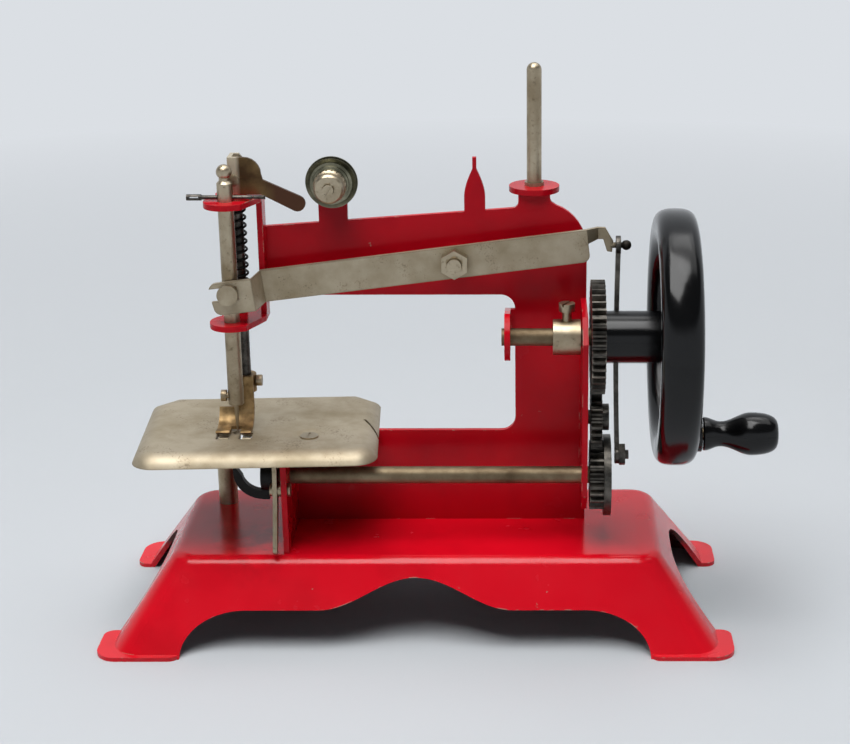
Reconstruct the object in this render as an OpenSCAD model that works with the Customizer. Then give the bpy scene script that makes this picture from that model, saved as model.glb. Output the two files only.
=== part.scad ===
// Toy hand-crank sewing machine of folded sheet steel on a pressed base.
// X runs along the machine towards the hand wheel, Y to the back, Z up.
// Sizes are measured from the middle of the base; placed() then centres the machine's box.

/* [Base] */
// Width of the base over its feet
base_w = 177; // [168:1:200]
// Depth of the base over its feet
base_d = 79; // [74:1:96]
// Middle of the base behind the middle of the machine
base_y = 2.4; // [0:0.2:4]
// Height of the base top above the floor
base_h = 25; // [24:0.5:34]
// Sheet thickness of the base
base_t = 1.2; // [0.8:0.1:2]
// Width of the flat top of the base
top_w = 136; // [124:1:146]
// Depth of the flat top of the base
top_d = 51; // [48:1:58]
// Radius of the bend round the top of the base
base_edge_r = 4; // [2:0.5:5]
// How far each foot turns out at the ends
foot_lip = 3.5; // [2:0.5:6]
// How far each foot turns out at the front and back
front_lip = 1.2; // [0.5:0.1:3]
// Radius of the base's corners at the floor
leg_corner_r = 8; // [6:0.5:10]
// Length of each foot along the front
foot_w = 23.4; // [16:0.2:30]
// Length of each foot along the side
foot_d = 17; // [12:1:22]
// Height of the straight lower edge of the skirt
skirt_z = 12; // [8:0.5:14]
// Rise of the ogee in the middle of the skirt
ogee_rise = 8; // [2:0.5:9]
// Half width of the ogee
ogee_w = 27; // [16:1:36]
// Reach of the curve beside each leg
leg_curve = 18; // [10:1:20]
// Height of the arch in each end
end_arch_z = 18; // [8:0.5:19]

/* [Frame] */
// Sheet thickness of the frame
sheet_t = 1.6; // [1.2:0.1:2]
// Front face of the frame plate, behind the middle of the base
plate_y = 4; // [3:0.5:6]
// Right face of the gear flange
frame_right = 47.6; // [44:0.2:52]
// Width of the column
column_w = 20; // [16:0.5:24]
// Left face of the looper bracket
bracket_x = -37; // [-39:0.2:-34]
// How far the bent flanges reach to the front of the plate
flange_reach = 24.6; // [22:0.2:28]
// Height of the bed beam above the base top
bed_h = 27.6; // [26:0.2:34]
// Clear height of the throat between bed and arm
throat_h = 40.4; // [38:0.2:50]
// Height of the arm at its left end
arm_h = 19.8; // [16:0.2:24]
// How much higher the arm is at the column
arm_taper = 5; // [0:0.5:8]
// Radius of the inner corners of the throat
throat_r = 4; // [2:0.5:6]
// Radius of the column's rounded shoulder
shoulder_r = 13; // [8:0.5:15]
// Height of the spool plate above the bottom of the arm
spool_rise = 30.2; // [28:0.2:36]
// Radius of the round spool plate
spool_plate_r = 7; // [5.5:0.5:10]
// Radius of the spool pin
spool_pin_r = 2.05; // [1.5:0.05:3]
// Length of the spool pin above its plate
spool_pin_l = 34; // [25:1:45]

// How far each frame screw stands in from the ends of the frame
frame_screw_in = 15; // [12:0.5:20]

/* [Head] */
// Left face of the head flange
head_x = -43; // [-44:0.2:-42]
// Needle bar position along the machine
needle_x = -50.2; // [-52:0.2:-49]
// Needle bar position front to back
needle_y = -7; // [-8:0.2:-6.5]
// Radius of the needle bar
needle_bar_r = 2.15; // [1.8:0.05:2.5]
// Height of the upper ear above the bottom of the arm
ear_rise = 29.6; // [28:0.2:32]
// Drop of the lower ear below the bottom of the arm
ear_drop = 4.2; // [2:0.2:8]
// Radius of the ears round the needle bar
ear_r = 6; // [5:0.2:7]
// Presser bar position along the machine
presser_x = -48.8; // [-49.6:0.1:-48]
// Presser bar position front to back
presser_y = 2; // [1.6:0.1:2.6]
// Radius of the presser bar
presser_r = 1.75; // [1.4:0.05:2]
// Wire diameter of the presser spring
spring_wire = 0.7; // [0.5:0.05:0.9]
// Number of turns of the presser spring
spring_turns = 10; // [6:1:13]
// Width of the presser foot
foot_plate_w = 9.8; // [9:0.2:13]

/* [Lever] */
// Needle lever pivot along the machine
pivot_x = 11.1; // [6:0.5:16]
// Needle lever pivot above the bottom of the arm
pivot_rise = 11.1; // [10:0.1:12]
// Upward slope of the lever to the right, at rest
lever_tilt = 7.2; // [6:0.1:8]
// Width of the lever bar
lever_w = 9; // [7:0.2:10]
// Thickness of the lever
lever_t = 1.4; // [1:0.1:1.8]
// Gap between the lever and the frame plate
lever_gap = 5.2; // [4.8:0.1:5.6]
// Radius of the lever's pivot bolt
pivot_r = 2; // [1.5:0.1:2.5]

/* [Drive] */
// Drive shafts in front of the middle of the base
shaft_y = -11; // [-12:0.2:-10]
// Height of the main shaft above the base top
main_rise = 60.3; // [58:0.1:66]
// Radius of the drive shafts
shaft_r = 2.4; // [2:0.1:2.8]
// Gear module
gear_m = 0.75; // [0.7:0.01:0.8]
// Teeth of the main gear
main_teeth = 40; // [36:2:44]
// Teeth of the idler gear
idler_teeth = 22; // [20:2:24]
// Teeth of the lower gear
lower_teeth = 24; // [22:2:26]
// Thickness of the gears
gear_t = 3.8; // [3:0.1:5]
// Thinning of each tooth flank for running clearance
gear_slack = 0.1; // [0.06:0.01:0.14]
// Radius of the crank disc on the lower shaft
disc_r = 11.4; // [9.5:0.1:12]
// Thickness of the crank disc
disc_t = 2; // [1.6:0.1:3]
// Crank radius
crank_r = 6.2; // [5:0.1:7]
// Direction of the crank at rest, from straight up to the back
crank_turn = 45; // [40:1:60]
// Radius of the needle lever's ball
ball_r = 1.4; // [1.3:0.1:1.8]
// Thickness of the connecting rod
rod_t = 1.3; // [1:0.1:1.6]
// Width of the connecting rod
rod_w = 3; // [2.4:0.1:3.4]
// Bow of the connecting rod towards the gears
rod_bow = 0.5; // [0:0.1:0.5]

/* [Hand wheel] */
// Outer radius of the hand wheel
wheel_r = 35.1; // [32:0.1:38]
// Width of the rim along the shaft
rim_w = 11.2; // [9:0.2:14]
// Radial depth of the rim
rim_d = 9; // [7:0.2:11]
// Thickness of the wheel's web
web_t = 3; // [2:0.2:4]
// Radius of the hub
hub_r = 7.2; // [6:0.1:8]
// Length of the hub between gear and rim
hub_l = 13.4; // [10:0.2:20]
// Crank handle's distance from the shaft
handle_off = 28.3; // [22:0.1:29]
// Length of the crank handle
handle_l = 21; // [19:0.5:28]
// Radius of the handle at its fullest
handle_r = 6; // [5:0.1:8]
// Radius of the handle at its waist
handle_waist_r = 3.5; // [3.2:0.1:4.5]
// Radius of the crank pin in the handle
crank_pin_r = 1.8; // [1.4:0.1:2.4]

/* [Cloth plate] */
// Width of the cloth plate's flat top
cloth_w = 59.5; // [54:0.5:62]
// Depth of the cloth plate's flat top
cloth_d = 44.5; // [42:0.5:50]
// Right end of the cloth plate's flat top
cloth_right = -14.6; // [-18:0.2:-12]
// Front of the cloth plate's flat top
cloth_front = -21; // [-23:0.2:-20]
// Height of the cloth plate over its rim
cloth_h = 3.4; // [3.2:0.1:4.5]
// Sheet thickness of the cloth plate
cloth_t = 1.2; // [0.8:0.1:1.4]
// How far the bevelled rim spreads
cloth_bevel = 3.8; // [2:0.1:5]
// Size of the clipped corners
cloth_clip = 5; // [3:0.5:9]
// Radius of the plate's front corners
cloth_corner_r = 2.5; // [2:0.5:8]
// How far the plate has swung round its screw
cloth_turn = 3; // [0:0.5:3]

/* [Thread tension] */
// Tension stud position along the machine
tension_x = -22.5; // [-28:0.5:-12]
// Height of the tension stud above the top of the arm
tension_rise = 12.6; // [10:0.2:16]
// Radius of the tension discs
tension_r = 7.2; // [5:0.1:9]
// Radius of the tension nut
tension_nut_r = 4; // [3:0.1:5]

/* [Clearances] */
// Running clearance of shafts and bars in their holes
run_gap = 0.06; // [0.03:0.01:0.09]
// Clearance of parts that pass each other
pass_gap = 0.35; // [0.3:0.05:0.5]
// Clearance of fixed fasteners in their holes
fix_gap = 0.05; // [0.02:0.01:0.1]

/* [Hidden] */
$fn = 48;

red = [0.72, 0.03, 0.06];
steel = [0.55, 0.51, 0.45];
dark_steel = [0.25, 0.24, 0.23];
black = [0.03, 0.03, 0.035];
brass = [0.55, 0.48, 0.3];

// Levels that follow from the driving sizes
plate_back = plate_y + sheet_t;
flange_front = plate_y - flange_reach;
bed_z = base_h + bed_h;
arm_z = bed_z + throat_h;
arm_left = head_x + sheet_t;
arm_top_l = arm_z + arm_h;
arm_top_r = arm_top_l + arm_taper;
column_left = frame_right - column_w;
spool_z = arm_z + spool_rise;
neck_x = column_left + 5.4;
neck_w = 8.8;
spool_y = plate_back + spool_plate_r * 0.5;
ear_t = sheet_t;
ear_z = arm_z + ear_rise;
low_ear_z = arm_z - ear_drop;

cloth_z = bed_z + cloth_h;
cloth_under = cloth_z - cloth_t;
cloth_left = cloth_right - cloth_w;
cloth_back = cloth_front + cloth_d;
plate_screw_x = bracket_x + 7;
plate_screw_y = -9;
plate_screw_r = 1.5;
tab_w = 13;
rim_clear = 2.4;
cutter_w = 0.8;
post_r = 2.8;
post_x = cloth_left + 16;
post_y = cloth_back - 6;
slot_off = 3.2;
slot_x = needle_x - 0.6;
slot_w = 3.4;
slot_l = 5;
slot_y = needle_y - 2.7;

main_z = base_h + main_rise;
gear_x = frame_right + 0.8;
main_pitch = gear_m * main_teeth / 2;
idler_pitch = gear_m * idler_teeth / 2;
lower_pitch = gear_m * lower_teeth / 2;
idler_z = main_z - main_pitch - idler_pitch;
lower_z = idler_z - idler_pitch - lower_pitch;
idler_stud_r = 2;
idler_head_r = 3.7;
disc_x = gear_x + gear_t;
crank_boss_t = 0.2;
crank_boss_x = disc_x + disc_t + crank_boss_t;
crank_y = shaft_y + crank_r * sin(crank_turn);
crank_z = lower_z + crank_r * cos(crank_turn);
rod_clear = 1.2;
rod_x = crank_boss_x + rod_clear;
main_ear_x = column_left - 2.8;
main_ear_r = 6.5;
main_ear_root = 3.4;
flange_low = lower_z - 8.8;
flange_top = main_z + 6.7;
flange_corner = 6;

hub_x = gear_x + gear_t;
rim_x = hub_x + hub_l;
wheel_end = rim_x + rim_w;
handle_boss_t = 2.6;
handle_boss_r = 5;
handle_x = wheel_end + handle_boss_t + pass_gap;
handle_z = main_z - handle_off;

pivot_z = arm_z + pivot_rise;
lever_y = plate_y - lever_gap - lever_t;
lever_mid = lever_y + lever_t / 2;
fork_back = needle_y - needle_bar_r - pass_gap;
fork_y = fork_back - lever_t;
fork_rise = 1.25;
stud_r = 1.5;
stud_head_r = 2.85;
stud_u = (needle_x - pivot_x) / cos(lever_tilt) + fork_rise * tan(lever_tilt);
stud_z = pivot_z + stud_u * sin(lever_tilt) + fork_rise * cos(lever_tilt);
joggle_u = (head_x + 1 - pivot_x) / cos(lever_tilt);
joggle_l = 1.4;
tail_y = lever_mid + 4;
tail_x = frame_right + 4.4;
ball_neck_r = 0.8;
ball_x = rod_x + rod_t + ball_r + 0.15;
ball_z = pivot_z + (ball_x - pivot_x) * tan(lever_tilt) - 2.3;

needle_low = cloth_z + 8.5;
needle_top = ear_z + 5.4;
needle_r = 0.6;
needle_l = 14.5;
split_r = 0.3;
split_z = ear_z + 2 * split_r + pass_gap;

presser_low = cloth_z + 9.5;
lifter_z = ear_z + 4.2;
presser_top = lifter_z + 1.9;
lifter_t = 1.1;
lifter_rivet_r = 0.9;
spring_r = presser_r + spring_wire / 2 + pass_gap;
spring_top = ear_z - ear_t;
spring_low = low_ear_z + 8.2;
presser_collar_t = 2.4;

feed_x = bracket_x - 2.4;
feed_t = 1.2;
feed_y = flange_front + 2.6;
feed_z = lower_z - 1.6;
feed_dog_z = cloth_under - 1.8;
looper_r = 7.2;
looper_x = needle_x - 1.2;

// The origin moves to the middle of the whole machine's box, on the floor
mid_x = (handle_x + handle_l - base_w / 2) / 2;
mid_y = (base_y + base_d / 2 + min(shaft_y - wheel_r, base_y - base_d / 2)) / 2;

module placed() translate([-mid_x, -mid_y, 0]) children();

// Points of an arc about c, from angle a0 to a1
function arc(c, r, a0, a1, n = 8) =
    [for (i = [0:n]) c + r * [cos(a0 + (a1 - a0) * i / n), sin(a0 + (a1 - a0) * i / n)]];

// A sheet standing across the machine's length, its outline in X and Z
module sheet_xz(y, t) translate([0, y + t, 0]) rotate([90, 0, 0]) linear_extrude(t) children();

// A sheet standing square to the shafts, its outline in Y and Z
module sheet_yz(x, t) translate([x, 0, 0]) rotate([90, 0, 90]) linear_extrude(t) children();

module rod_along_x(x0, x1, r, y, z) translate([x0, y, z]) rotate([0, 90, 0]) cylinder(r = r, h = x1 - x0);

module rod_along_y(y0, y1, r, x, z) translate([x, y1, z]) rotate([90, 0, 0]) cylinder(r = r, h = y1 - y0);

module rod_along_z(z0, z1, r, x, y) translate([x, y, z0]) cylinder(r = r, h = z1 - z0);

module block(low, high) translate(low) cube(high - low);

// Four round corner posts of a rectangle, as the corners of a hull
module corners(w, d, r, z, h) {
    for (sx = [-1, 1], sy = [-1, 1])
        translate([sx * (w / 2 - r), sy * (d / 2 - r), z]) cylinder(r = r, h = h, $fn = 32);
}

// The pyramid of the base, drawn in by a wall, with a round bend about its top
module base_form(wall, low) {
    corner_r = 6;
    start = base_edge_r * tan(30);
    bend = base_edge_r - wall;
    hull() {
        corners(base_w - 2 * foot_lip - 2 * wall, base_d - 2 * front_lip - 2 * wall,
            leg_corner_r - wall, low, 0.2);
        for (a = [0:12:60]) let (inset = start - bend * sin(a))
            corners(top_w - 2 * inset, top_d - 2 * inset, corner_r - inset,
                base_h - base_edge_r + bend * cos(a) - 0.05, 0.05);
    }
}

// Outline of the front cut: a leg's curve, a straight edge, the ogee and its mirror
function skirt_half(n) = concat(
    [for (i = [0:n]) [base_w / 2 - foot_w - leg_curve * (1 - cos(90 * i / n)), skirt_z * sin(90 * i / n)]],
    [for (i = [0:n]) [ogee_w * (1 - i / n), skirt_z + ogee_rise * (1 - cos(180 * i / n)) / 2]]);

// A soft-cornered share of an oval's reach
function bulge(v) = sign(v) * pow(abs(v), 0.7);

module base() placed() color(red) difference() {
    leg_r = 6;
    half = skirt_half(16);
    count = len(half);
    mirror_half = [for (i = [1:count - 1]) [-half[count - 1 - i][0], half[count - 1 - i][1]]];
    side_half = base_d / 2 - foot_d;
    inner_w = base_w - 2 * foot_lip - 2 * base_t;
    inner_d = base_d - 2 * front_lip - 2 * base_t;
    inner_r = leg_corner_r - base_t;
    translate([0, base_y, 0]) union() {
        difference() {
            base_form(0, 0);
            base_form(base_t, -1);
            sheet_xz(-base_d, 2 * base_d)
                polygon(concat([[base_w / 2 - foot_w, -1]], half, mirror_half, [[-base_w / 2 + foot_w, -1]]));
            sheet_yz(-base_w, 2 * base_w)
                polygon(concat([[side_half, -1]],
                    [for (i = [0:24]) [side_half * bulge(cos(7.5 * i)), end_arch_z * bulge(sin(7.5 * i))]],
                    [[-side_half, -1]]));
        }
        intersection() {
            linear_extrude(base_t) difference() {
                hull() for (sx = [-1, 1], sy = [-1, 1])
                    translate([sx * (base_w / 2 - leg_r), sy * (base_d / 2 - leg_r)]) circle(leg_r, $fn = 32);
                hull() for (sx = [-1, 1], sy = [-1, 1])
                    translate([sx * (inner_w / 2 - inner_r), sy * (inner_d / 2 - inner_r)])
                        circle(inner_r, $fn = 32);
            }
            for (sx = [-1, 1], sy = [-1, 1])
                translate([sx * (base_w - foot_w) / 2, sy * (base_d - foot_d) / 2, 0])
                    hull() corners(foot_w, foot_d, leg_r / 2, -base_t, 4 * base_t);
        }
    }
    for (x = [bracket_x + frame_screw_in, frame_right - frame_screw_in])
        rod_along_z(base_h - 2 * base_t, base_h + 1, 1.5 + fix_gap, x, plate_back + 5.4);
}

function frame_outline() = concat(
    [[bracket_x, base_h], [frame_right, base_h]],
    arc([frame_right - shoulder_r, arm_top_r - shoulder_r + 1.6], shoulder_r, 0, 70),
    arc([neck_x + neck_w / 2 + 1.6, arm_top_r + 2.8], 1.6, 250, 180, 4),
    [[neck_x + neck_w / 2, spool_z - 1.4], [neck_x - neck_w / 2, spool_z - 1.4]],
    arc([neck_x - neck_w / 2 - 1.6, arm_top_r + 1.6], 1.6, 0, -86, 4),
    [[arm_left, arm_top_l], [arm_left, arm_z]],
    arc([column_left - throat_r, arm_z - throat_r], throat_r, 90, 0),
    arc([column_left - throat_r, bed_z + throat_r], throat_r, 0, -90),
    [[bracket_x, bed_z]]);

// An ear of the head, holding both bars
module ear(top) {
    translate([0, 0, top - ear_t]) linear_extrude(ear_t) union() {
        translate([needle_x, needle_y]) circle(ear_r);
        translate([presser_x, presser_y]) circle(ear_r - 0.5);
        polygon([[needle_x, needle_y - ear_r], [needle_x + 4.6, needle_y - ear_r + 1.4],
            [arm_left, lever_mid], [arm_left, plate_back], [presser_x, presser_y + ear_r - 0.5],
            [needle_x - ear_r, needle_y]]);
    }
}

module thread_hook() {
    x = column_left - 11;
    z = arm_top_r - 2;
    stem = 0.55;
    blade = [for (i = [0:10]) [stem + 2.35 * cos(9 * i), z + 5 + 0.8 * i]];
    sheet_xz(plate_y, sheet_t) polygon(concat([[x - 2.9, z], [x + 2.9, z]],
        [for (p = blade) [x + p[0], p[1]]], [[x + stem, z + 16.2], [x - stem, z + 16.2]],
        [for (i = [10:-1:0]) [x - blade[i][0], blade[i][1]]]));
}

module tension_tab() {
    top = arm_top_l + tension_rise;
    sheet_xz(plate_y, sheet_t) union() {
        translate([tension_x - 4, arm_top_l - 1]) square([8, tension_rise + 1]);
        translate([tension_x, top]) circle(4);
    }
}

module frame() placed() color(red) difference() {
    union() {
        sheet_xz(plate_y, sheet_t) polygon(frame_outline());
        thread_hook();
        tension_tab();
        // head: a flange with two ears, bent to the front from the end of the arm
        block([head_x, lever_mid + lever_t / 2 + 0.7, low_ear_z - ear_t], [arm_left, plate_back, ear_z]);
        ear(ear_z);
        ear(low_ear_z);
        // spool plate, bent to the back
        translate([neck_x, spool_y, spool_z - sheet_t]) cylinder(r = spool_plate_r, h = sheet_t);
        block([neck_x - neck_w / 2, plate_y, spool_z - sheet_t], [neck_x + neck_w / 2, spool_y, spool_z]);
        // gear flange with its clipped front corners
        sheet_yz(frame_right - sheet_t, sheet_t) polygon([[plate_back, flange_low - 6], [plate_y, flange_low],
            [flange_front + flange_corner, flange_low], [flange_front, flange_low + flange_corner],
            [flange_front, flange_top - flange_corner], [flange_front + flange_corner, flange_top],
            [plate_back, flange_top]]);
        // ear for the end of the main shaft
        sheet_yz(main_ear_x, sheet_t) union() {
            translate([shaft_y, main_z]) circle(main_ear_r);
            polygon([[shaft_y, main_z - main_ear_r], [plate_back, main_z - main_ear_root],
                [plate_back, main_z + main_ear_root], [shaft_y, main_z + main_ear_r]]);
        }
        block([main_ear_x, plate_y, main_z - main_ear_root],
            [column_left + 1, plate_back, main_z + main_ear_root]);
        // looper bracket with the tab that carries the cloth plate
        sheet_yz(bracket_x, sheet_t) polygon([[flange_front, base_h], [plate_back, base_h],
            [plate_back, cloth_under], [flange_front + rim_clear, cloth_under],
            [flange_front, cloth_under - rim_clear]]);
        block([bracket_x, plate_screw_y - tab_w / 2, cloth_under - sheet_t],
            [bracket_x + tab_w, plate_screw_y + tab_w / 2, cloth_under]);
        // foot flange on the base, turned to the back
        block([bracket_x + 7, plate_y, base_h], [frame_right - 3.6, plate_back + 10, base_h + sheet_t]);
    }
    for (top = [ear_z, low_ear_z]) {
        rod_along_z(top - ear_t - 1, top + 1, needle_bar_r + run_gap, needle_x, needle_y);
        rod_along_z(top - ear_t - 1, top + 1, presser_r + run_gap, presser_x, presser_y);
    }
    rod_along_x(main_ear_x - 1, main_ear_x + sheet_t + 1, shaft_r + run_gap, shaft_y, main_z);
    for (z = [main_z, lower_z])
        rod_along_x(frame_right - sheet_t - 1, frame_right + 1, shaft_r + run_gap, shaft_y, z);
    rod_along_x(frame_right - sheet_t - 1, frame_right + 1, idler_stud_r + fix_gap, shaft_y, idler_z);
    rod_along_x(bracket_x - 1, bracket_x + sheet_t + 1, shaft_r + run_gap, shaft_y, lower_z);
    rod_along_x(bracket_x - 1, bracket_x + sheet_t + 1, 1.2 + fix_gap, feed_y, feed_z);
    translate([plate_screw_x, plate_screw_y, cloth_under - sheet_t - 1])
        cylinder(r = plate_screw_r + fix_gap, h = sheet_t + 2);
    rod_along_y(plate_y - 1, plate_back + 1, pivot_r + fix_gap, pivot_x, pivot_z);
    rod_along_y(plate_y - 1, plate_back + 1, 1.5 + fix_gap, tension_x, arm_top_l + tension_rise);
    rod_along_z(spool_z - sheet_t - 1, spool_z + 1, 1.5 + fix_gap, neck_x, spool_y);
    for (x = [bracket_x + frame_screw_in, frame_right - frame_screw_in])
        rod_along_z(base_h - 1, base_h + sheet_t + 1, 1.5 + fix_gap, x, plate_back + 5.4);
}

module frame_screws() placed() color(steel)
    for (x = [bracket_x + frame_screw_in, frame_right - frame_screw_in]) {
        y = plate_back + 5.4;
        rod_along_z(base_h - base_t, base_h + sheet_t, 1.5, x, y);
        rod_along_z(base_h - base_t - 1.8, base_h - base_t, 2.9, x, y);
        translate([x, y, base_h + sheet_t]) cylinder(r = 2.9, h = 1.8, $fn = 6);
    }

module spool_pin() placed() color(steel) {
    rod_along_z(spool_z - sheet_t, spool_z, 1.5, neck_x, spool_y);
    rod_along_z(spool_z, spool_z + 1, spool_pin_r + 0.6, neck_x, spool_y);
    rod_along_z(spool_z + 1, spool_z + spool_pin_l - spool_pin_r, spool_pin_r, neck_x, spool_y);
    translate([neck_x, spool_y, spool_z + spool_pin_l - spool_pin_r]) sphere(spool_pin_r);
    rod_along_z(spool_z - sheet_t - 0.9, spool_z - sheet_t, 2.4, neck_x, spool_y);
}

tension_z = arm_top_l + tension_rise;
tension_cup_y = plate_y - 5.2;
tension_nut_y = tension_cup_y - 5.4;

module tension_stud() placed() color(steel) difference() {
    union() {
        rod_along_y(tension_nut_y - 0.6, plate_back + 0.8, 1.5, tension_x, tension_z);
        rod_along_y(plate_back, plate_back + 1.4, 2.8, tension_x, tension_z);
    }
    translate([tension_x, 0, tension_z]) rotate([0, 35, 0])
        block([-0.3, tension_nut_y - 1, -2], [0.3, tension_nut_y + 0.3, 2]);
}

// Two dished discs, back to back, with the pressure cup in front of them
module tension_discs() placed() color(brass) translate([tension_x, plate_y, tension_z]) rotate([90, 0, 0])
    rotate_extrude() {
        polygon([[1.5 + fix_gap, 0.1], [4.6, 0.1], [tension_r, 0.7], [tension_r, 1.2], [4.4, 0.8],
            [1.5 + fix_gap, 0.8]]);
        polygon([[1.5 + fix_gap, 0.85], [4.4, 0.85], [tension_r - 0.4, 1.7], [tension_r - 0.4, 2.2],
            [5.8, 1.85], [5.8, 2.9], [5.1, 3.1], [5, 4], [4.5, 4.2], [4.4, 5.1], [1.5 + fix_gap, 5.1]]);
    }

module tension_nut() placed() color(steel) difference() {
    translate([tension_x, tension_cup_y - 0.05, tension_z]) rotate([90, 0, 0]) rotate_extrude()
        polygon([[1.5 + run_gap, 0], [tension_nut_r + 0.5, 0], [tension_nut_r + 0.5, 1.2],
            [tension_nut_r, 1.6], [tension_nut_r, 4.6], [tension_nut_r - 0.5, 5.1], [1.5 + run_gap, 5.1]]);
    for (i = [0:17])
        translate([tension_x, tension_cup_y - 0.7, tension_z]) rotate([0, i * 20, 0])
            translate([tension_nut_r + 0.6, 0, 0]) cube([0.6, 1.3, 0.5], center = true);
}

// Outline of the plate: round corners in front, clipped ones at the back
function cloth_outline(spread) =
    let (l = cloth_left - spread, r = cloth_right + spread, b = cloth_back + spread, c = cloth_clip,
        q = cloth_corner_r, f = cloth_front + q)
    concat(arc([cloth_left + q, f], q + spread, 180, 270, 6),
        arc([cloth_right - q, f], q + spread, 270, 360, 6),
        [[r, b - c], [r - c, b], [l + c, b], [l, b - c]]);

// The plate's pan with a rolled rim, drawn in by a wall
module cloth_form(wall) {
    flat = 1.6;
    roll = 70;
    hull() for (a = [0:14:roll])
        translate([0, 0, cloth_z - cloth_h * (1 - cos(a)) / (1 - cos(roll)) - wall * cos(a)
            - 0.05 * (1 - a / roll)]) linear_extrude(0.05)
                polygon(cloth_outline((cloth_bevel + flat) * sin(a) / sin(roll) - flat - wall * sin(a)));
}

module cloth_plate() placed() color(steel) difference() {
    translate([plate_screw_x, plate_screw_y, 0]) rotate([0, 0, cloth_turn])
        translate([-plate_screw_x, -plate_screw_y, 0]) difference() {
            cloth_form(0);
            cloth_form(cloth_t);
        }
    for (s = [-1, 1])
        translate([slot_x + s * slot_off, slot_y, cloth_z]) cube([slot_w, slot_l, 6], center = true);
    rod_along_z(cloth_under - 1, cloth_z + 1, 1.4, needle_x, needle_y);
    rod_along_z(cloth_under - 1, cloth_z + 1, plate_screw_r + fix_gap, plate_screw_x, plate_screw_y);
    rod_along_z(cloth_z - 0.5, cloth_z + 1, 2.6, plate_screw_x, plate_screw_y);
    // dished seat of the screw
    translate([plate_screw_x, plate_screw_y, cloth_z - 0.4]) cylinder(r1 = 2.6, r2 = 5.6, h = 0.42);
    // thread cutter: a slit that runs out over the right rim
    translate([cloth_right - 1, plate_y, cloth_z - 2 * cloth_h]) rotate([0, 0, -58])
        translate([0, -cutter_w / 2, 0]) cube([12, cutter_w, 3 * cloth_h]);
}

module plate_screw() placed() color(steel) difference() {
    union() {
        rod_along_z(cloth_under - sheet_t - 2, cloth_z - 0.5, plate_screw_r, plate_screw_x, plate_screw_y);
        rod_along_z(cloth_z - 0.5, cloth_z - 0.05, 2.6 - fix_gap, plate_screw_x, plate_screw_y);
    }
    translate([plate_screw_x, plate_screw_y, cloth_z]) cube([0.6, 4, 0.5], center = true);
}

module plate_post() placed() color(steel) {
    rod_along_z(base_h, cloth_under, post_r, post_x, post_y);
}

module lever_bolt() placed() color(steel) {
    rod_along_y(plate_back, plate_back + 2, 3.4, pivot_x, pivot_z);
    rod_along_y(lever_y - 4.4, plate_back, pivot_r, pivot_x, pivot_z);
}

// Spacer behind the lever and the hexagon nut in front of it, both on the bolt
module lever_nut() placed() color(steel) {
    difference() {
        union() {
            rod_along_y(lever_y + lever_t + run_gap, plate_y, 3.2, pivot_x, pivot_z);
            translate([pivot_x, lever_y - run_gap, pivot_z]) rotate([90, 30, 0])
                cylinder(r = 4.1, h = 3, $fn = 6);
        }
        rod_along_y(lever_y - 5, plate_y + 1, pivot_r + fix_gap, pivot_x, pivot_z);
    }
}

// The lever lies in its own frame: u along the bar, v across it
module in_lever(y) translate([pivot_x, y + lever_t, pivot_z]) rotate([90, -lever_tilt, 0]) children();

module lever_slab(u) translate([u, -lever_w / 2, 0]) cube([0.2, lever_w, lever_t]);

module needle_lever() placed() color(steel) {
    tail_u = (frame_right + 0.3 - pivot_x) / cos(lever_tilt);
    fork_u = joggle_u - joggle_l;
    neck_low = [rod_x - 1.1, ball_z];
    difference() {
        union() {
            // bar on its pivot
            in_lever(lever_y) linear_extrude(lever_t) polygon(concat(
                [[joggle_u, -lever_w / 2]], arc([tail_u - 2, -lever_w / 2 + 2], 2, -90, 0, 5),
                [[tail_u, lever_w / 2], [joggle_u, lever_w / 2]]));
            // step to the front, then the fork round the needle bar's stud
            hull() {
                in_lever(lever_y) lever_slab(joggle_u);
                in_lever(fork_y) lever_slab(fork_u - 0.2);
            }
            in_lever(fork_y) linear_extrude(lever_t) polygon(concat(
                [[fork_u, -lever_w / 2], [fork_u, lever_w / 2]],
                arc([stud_u - 3, lever_w / 2 - 2.2], 2.2, 90, 180, 5),
                arc([stud_u - 2.4, -lever_w / 2 + 2.2], 2.2, 180, 270, 5)));
            // step to the back, then the tail that drops to the ball
            hull() {
                in_lever(lever_y) translate([tail_u - 0.2, 0.6, 0]) cube([0.2, lever_w / 2 - 0.6, lever_t]);
                translate([tail_x - 1.6, tail_y - lever_t / 2, ball_z + 1.9]) cube([0.2, lever_t, 3.2]);
            }
            sheet_xz(tail_y - lever_t / 2, lever_t) polygon([
                [tail_x - 1.6, ball_z + 1.9], [tail_x, ball_z + 1.9],
                neck_low - [1.4, 1.6], neck_low - [0, 1.8], neck_low + [0.3, 1.2], [tail_x + 0.6, ball_z + 5],
                [tail_x - 1.6, ball_z + 5.1]]);
            rod_along_x(neck_low[0] - 0.4, ball_x, ball_neck_r, tail_y, ball_z);
            translate([ball_x, tail_y, ball_z]) sphere(ball_r);
        }
        rod_along_y(lever_y - 1, lever_y + lever_t + 1, pivot_r + run_gap, pivot_x, pivot_z);
        in_lever(fork_y + 1) {
            translate([stud_u, fork_rise, 0]) cylinder(r = stud_r + pass_gap, h = lever_t + 2);
            translate([stud_u - 12, fork_rise - stud_r - pass_gap, 0])
                cube([14.6, 2 * stud_r + 2 * pass_gap, lever_t + 2]);
        }
    }
}

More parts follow.
